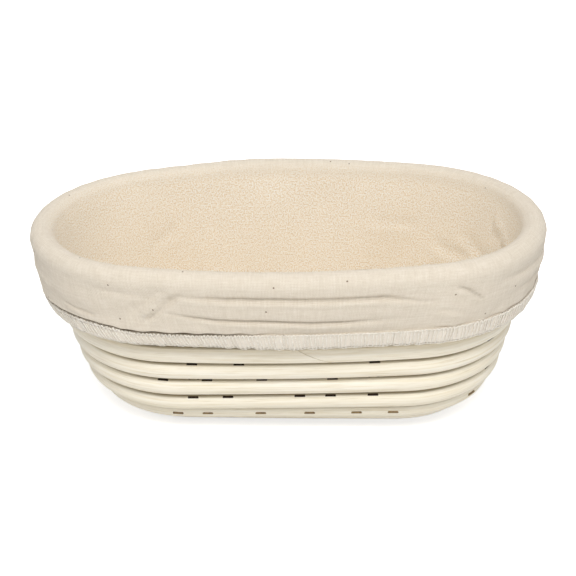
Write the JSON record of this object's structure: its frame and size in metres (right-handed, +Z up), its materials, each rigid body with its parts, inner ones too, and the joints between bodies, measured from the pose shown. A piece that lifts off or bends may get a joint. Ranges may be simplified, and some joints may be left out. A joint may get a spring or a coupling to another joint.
{
  "type": "proofing basket",
  "caption": "Oval coiled-cane bread proofing basket, its turns stapled together, with a lift-out cloth liner folded over the rim and held by an elastic hem.",
  "frame": {"origin": "On the floor under the middle of the whole basket.", "axes": "+X runs along the basket's length to the right, -Y is the front in the picture, +Z is up."},
  "size_m": [0.249, 0.149, 0.0994],
  "materials": {
    "cane": "satin",
    "staple": "satin",
    "cloth": "matte",
    "elastic": "matte"
  },
  "bodies": {
    "basket": {"base_cane": "cane", "lower_wall_cane": "cane", "middle_wall_cane": "cane", "rim_cane": "cane", "staple_01": "staple", "staple_02": "staple", "staple_03": "staple", "staple_04": "staple", "staple_05": "staple", "staple_06": "staple", "staple_07": "staple", "staple_08": "staple", "staple_09": "staple", "staple_10": "staple", "staple_11": "staple", "staple_12": "staple", "staple_13": "staple", "staple_14": "staple", "staple_15": "staple", "staple_16": "staple", "staple_17": "staple", "staple_18": "staple", "staple_19": "staple", "staple_20": "staple", "staple_21": "staple", "staple_22": "staple", "staple_23": "staple", "staple_24": "staple", "staple_25": "staple", "staple_26": "staple", "staple_27": "staple", "staple_28": "staple", "staple_29": "staple", "staple_30": "staple", "staple_31": "staple", "staple_32": "staple", "staple_33": "staple", "staple_34": "staple", "staple_35": "staple", "staple_36": "staple", "staple_37": "staple", "staple_38": "staple", "staple_39": "staple", "staple_40": "staple", "staple_41": "staple", "staple_42": "staple"},
    "liner": {"liner_base_panel": "cloth", "liner_side_band": "cloth", "hem_elastic": "elastic"}
  },
  "joints": [
    {"name": "liner_lift", "type": "slide", "parent": "basket", "child": "liner", "axis": [0, 0, 1], "range_m": [0, 0.105], "deforming": ["liner_side_band", "hem_elastic"]}
  ]
}
